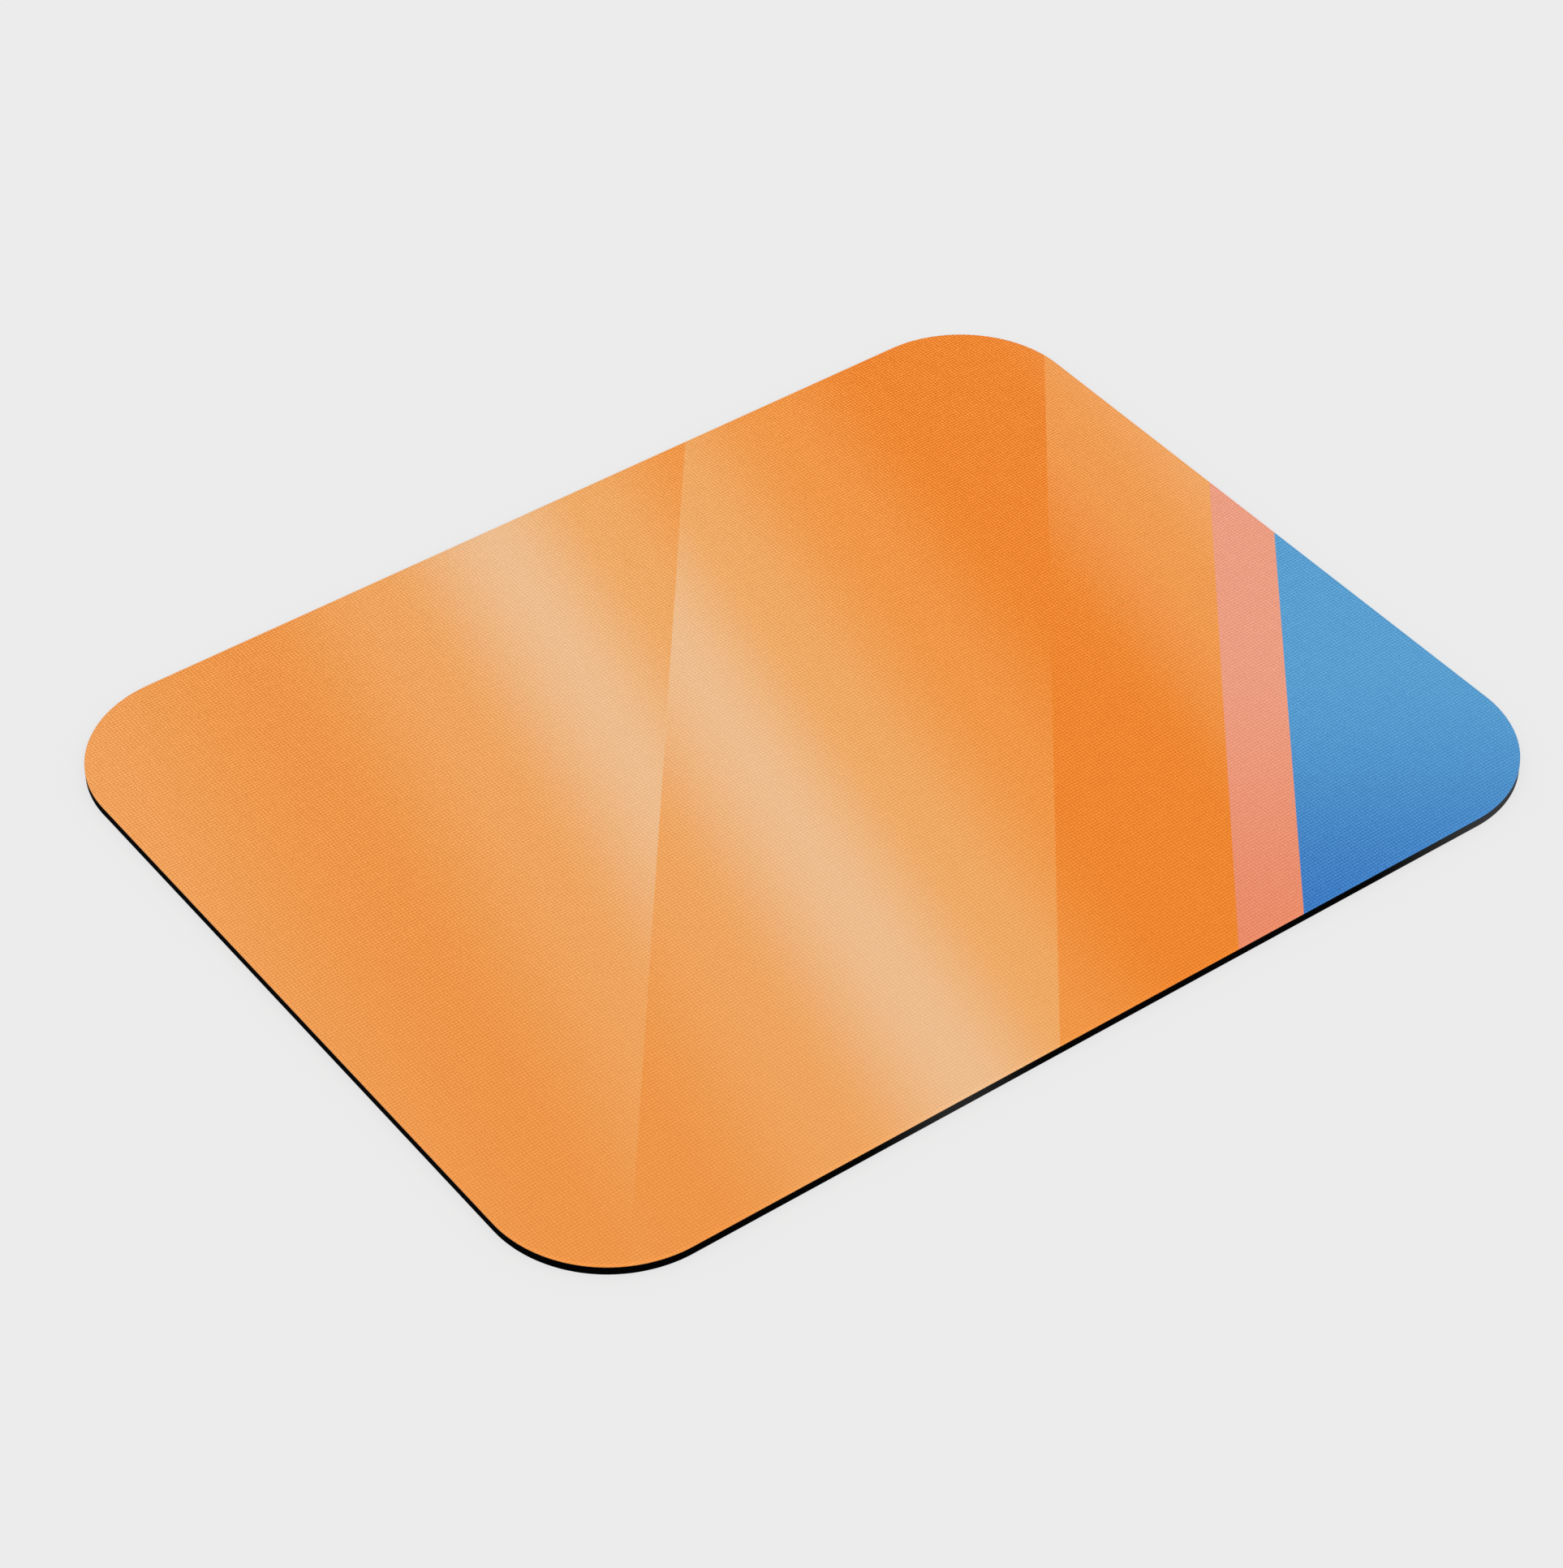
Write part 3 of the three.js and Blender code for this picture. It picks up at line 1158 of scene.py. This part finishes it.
@dataclass(frozen=True)
class RubberBase:
    """The foam rubber base: a die-cut edge that is dished a little, and a wavy tread below.

    Faces near the outline are cut foam, apart from those that point further down than the skin's limit.
    """

    outline: CutOutline
    bottom: float
    top: float
    edge: CutFoam
    skin: MouldedRubber
    tread: WavyTread
    foot_radius: float = 0.12 * MM
    foot_steps: int = 3
    skin_limit: float = -0.9
    dish: float = 0.05 * MM
    dish_steps: int = 5
    waver: float = 0.02 * MM
    waver_length: float = 5 * MM
    crease_angle: float = math.radians(40)
    fine: int = 8

    def build(self) -> bpy.types.Object:
        """Builds the base as a sheet and cuts the tread into its underside.

        Returns:
            The piece.
        """
        mesh = RingMesh(self.outline, self.fine)
        rings = [mesh.level_ring(self.foot_radius, self.bottom)]
        for step in range(1, self.foot_steps + 1):
            angle = step / self.foot_steps * math.pi / 2
            inset = self.foot_radius * (1 - math.sin(angle))
            rings.append(mesh.level_ring(inset, self.bottom + self.foot_radius * (1 - math.cos(angle))))
        wall_foot = self.bottom + self.foot_radius
        for step in range(1, self.dish_steps):
            share = step / self.dish_steps
            height = wall_foot + share * (self.top - wall_foot)
            insets = [self._edge_inset(place, share) for place, _ in mesh.rim]
            rings.append(mesh.ring(insets, [height] * len(insets)))
        rings.append(mesh.level_ring(0, self.top))
        for lower, upper in zip(rings, rings[1:]):
            mesh.band(lower, upper)
        mesh.faces.append(rings[0][::-1])
        mesh.fill(rings[-1], self.top, Facing.UP)
        piece = mesh.to_object("foam_rubber_base")
        skin = self.skin.material()
        piece.data.materials.append(skin)
        self.tread.cut(piece, self.outline, skin)
        piece.data.materials.append(self.edge.material())
        for face in piece.data.polygons:
            if self.outline.inset_at(face.center) < 2 * self.foot_radius and face.normal.z > self.skin_limit:
                face.material_index = len(piece.data.materials) - 1
        shade_by_angle(piece, self.crease_angle)
        return piece

    def _edge_inset(self, place: Vector, share: float) -> float:
        """Works out how far the cut edge lies inside the outline.

        Args:
            place: The place on the outline.
            share: How far up the wall, from 0 to 1.

        Returns:
            The inset.
        """
        dished = math.sin(share * math.pi)
        uneven = noise.noise(Vector((place.x, place.y, share * self.waver_length)) / self.waver_length)
        return (self.dish + self.waver * uneven) * dished

    def place(self) -> bpy.types.Object:
        """Returns:
            The finished piece.
        """
        piece = self.build()
        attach(piece, "root")
        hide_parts("rubber_base")
        return piece


def direction(azimuth: float, elevation: float) -> Vector:
    """The direction at an azimuth, counter-clockwise from +X, and an elevation above the desk."""
    level = math.cos(elevation)
    return Vector((level * math.cos(azimuth), level * math.sin(azimuth), math.sin(elevation)))


@dataclass(frozen=True)
class Studio:
    """A plain pale floor, soft even light, and the camera at the photograph's angle."""

    backdrop: str = "#ececec"
    floor_glow_share: float = 0.78
    floor_radius: float = 4.0
    floor_steps: int = 8
    sky_share: float = 0.7
    sun_azimuth: float = math.radians(-126)
    sun_elevation: float = math.radians(45)
    sun_width: float = math.radians(40)
    picture_height: int = 1932
    focal_pixels: float = 5878.0
    sensor: float = 36.0
    nearest_shown: float = 10 * MM
    furthest_shown: float = 50.0
    camera_place: tuple[float, float, float] = (-492.17 * MM, -659.43 * MM, 738.92 * MM)
    camera_azimuth: float = math.radians(90 - 36.395)
    camera_tilt: float = math.radians(42.22)
    camera_roll: float = math.radians(-0.076)

    def _backdrop_ray(self, tree: Tree) -> Socket:
        """Adds nodes for the rays that show the backdrop: the camera's, and those of gloss and of glass.

        Args:
            tree: The floor's or the world's tree.

        Returns:
            1 for such a ray, and 0 for one that only brings light.
        """
        rays = add_node(tree, "ShaderNodeLightPath", {}).outputs
        shown = rays["Is Camera Ray"]
        for kind in ("Is Glossy Ray", "Is Transmission Ray"):
            shown = add_node(tree, MATH, {0: shown, 1: rays[kind]}, operation="MAXIMUM").outputs[0]
        return shown

    def floor(self, outline: CutOutline, inset: float) -> None:
        """Lays the floor, which shows the backdrop's colour and keeps the pad's shadow.

        It is open under the pad, so that a view from below shows the underside.

        Args:
            outline: The pad's outline.
            inset: How far inside the outline the opening lies.
        """
        walk = outline.walk(self.floor_steps)
        inner = [place - out * inset for place, out in walk]
        outer = [place.normalized() * self.floor_radius for place, _ in walk]
        count = len(walk)
        faces = [(i, (i + 1) % count, count + (i + 1) % count, count + i) for i in range(count)]
        mesh = bpy.data.meshes.new("floor")
        mesh.from_pydata([tuple(place) for place in outer + inner], [], faces)
        floor = bpy.data.objects.new("floor", mesh)
        bpy.context.scene.collection.objects.link(floor)
        material, tree, paper = new_material("floor_paper")
        surface = {"Base Color": linear(self.backdrop), "Roughness": 1.0, "Specular IOR Level": 0.0}
        fill_inputs(tree, paper, surface)
        glow = add_node(tree, "ShaderNodeEmission", {"Color": linear(self.backdrop), "Strength": 1.0})
        share = {0: self._backdrop_ray(tree), 1: self.floor_glow_share}
        share = add_node(tree, MATH, share, operation="MULTIPLY").outputs[0]
        both = add_node(tree, "ShaderNodeMixShader", {0: share, 1: paper.outputs[0], 2: glow.outputs[0]})
        tree.links.new(both.outputs[0], tree.nodes["Material Output"].inputs["Surface"])
        mesh.materials.append(material)

    def light(self) -> None:
        """Sets an even sky and one wide sun, which together light a level surface at a plain level."""
        world = bpy.data.worlds.new("studio")
        bpy.context.scene.world = world
        world.use_nodes = True
        tree = world.node_tree
        tree.nodes.clear()
        lit = {"Color": (1, 1, 1, 1), "Strength": self.sky_share}
        sky = add_node(tree, "ShaderNodeBackground", lit).outputs[0]
        shown = {"Color": linear(self.backdrop), "Strength": 1.0}
        paper = add_node(tree, "ShaderNodeBackground", shown).outputs[0]
        either = {0: self._backdrop_ray(tree), 1: sky, 2: paper}
        both = add_node(tree, "ShaderNodeMixShader", either).outputs[0]
        add_node(tree, "ShaderNodeOutputWorld", {"Surface": both})
        sun = bpy.data.lights.new("sun", "SUN")
        sun.energy = (1 - self.sky_share) * math.pi / math.sin(self.sun_elevation)
        sun.angle = self.sun_width
        lamp = bpy.data.objects.new("sun", sun)
        source = direction(self.sun_azimuth, self.sun_elevation)
        lamp.rotation_mode = "QUATERNION"
        lamp.rotation_quaternion = source.to_track_quat("Z", "Y")
        bpy.context.scene.collection.objects.link(lamp)

    def camera(self) -> None:
        """Sets the camera where the photograph's four straight sides place it."""
        data = bpy.data.cameras.new("camera")
        data.sensor_width = self.sensor
        data.lens = self.sensor * self.focal_pixels / self.picture_height
        data.clip_start = self.nearest_shown
        data.clip_end = self.furthest_shown
        camera = bpy.data.objects.new("camera", data)
        looks = direction(self.camera_azimuth, -self.camera_tilt)
        camera.location = self.camera_place
        camera.rotation_mode = "QUATERNION"
        roll = Quaternion((0, 0, 1), self.camera_roll)
        camera.rotation_quaternion = looks.to_track_quat("-Z", "Y") @ roll
        bpy.context.scene.collection.objects.link(camera)
        bpy.context.scene.camera = camera

    def set_up(self, outline: CutOutline, foot_inset: float) -> None:
        """Sets up the floor, the light and the camera, with colours shown as they are written.

        Args:
            outline: The pad's outline.
            foot_inset: How far inside the outline the pad's foot meets the floor.
        """
        self.floor(outline, foot_inset)
        self.light()
        self.camera()
        bpy.context.scene.view_settings.view_transform = "Standard"


def main() -> None:
    """Builds the studio and the pad's three sheets, from the desk up, and logs their vertices and faces."""
    logging.basicConfig(level=logging.INFO, format="%(name)s: %(message)s")
    low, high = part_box("printed_cloth")
    outline = CutOutline(high.x - low.x, high.y - low.y)
    film_bottom, film_top = (corner.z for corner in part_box("bonding_film"))
    rubber_bottom, rubber_top = (corner.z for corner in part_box("rubber_base"))
    rubber = RubberBase(outline, rubber_bottom, rubber_top, CutFoam(), MouldedRubber(), WavyTread())
    Studio().set_up(outline, rubber.foot_radius)
    base = rubber.place()
    film = BondingFilm(outline, film_bottom, film_top, HotMeltFilm()).place()
    finish = WovenPolyester(PlainWeave(), StripedPrint())
    cloth = PrintedCloth(outline, low.z, high.z, finish).place(film.name)
    for piece in (base, film, cloth):
        log.info("%s: %d vertices, %d faces", piece.name, len(piece.data.vertices), len(piece.data.polygons))


if __name__ == "__main__":
    main()
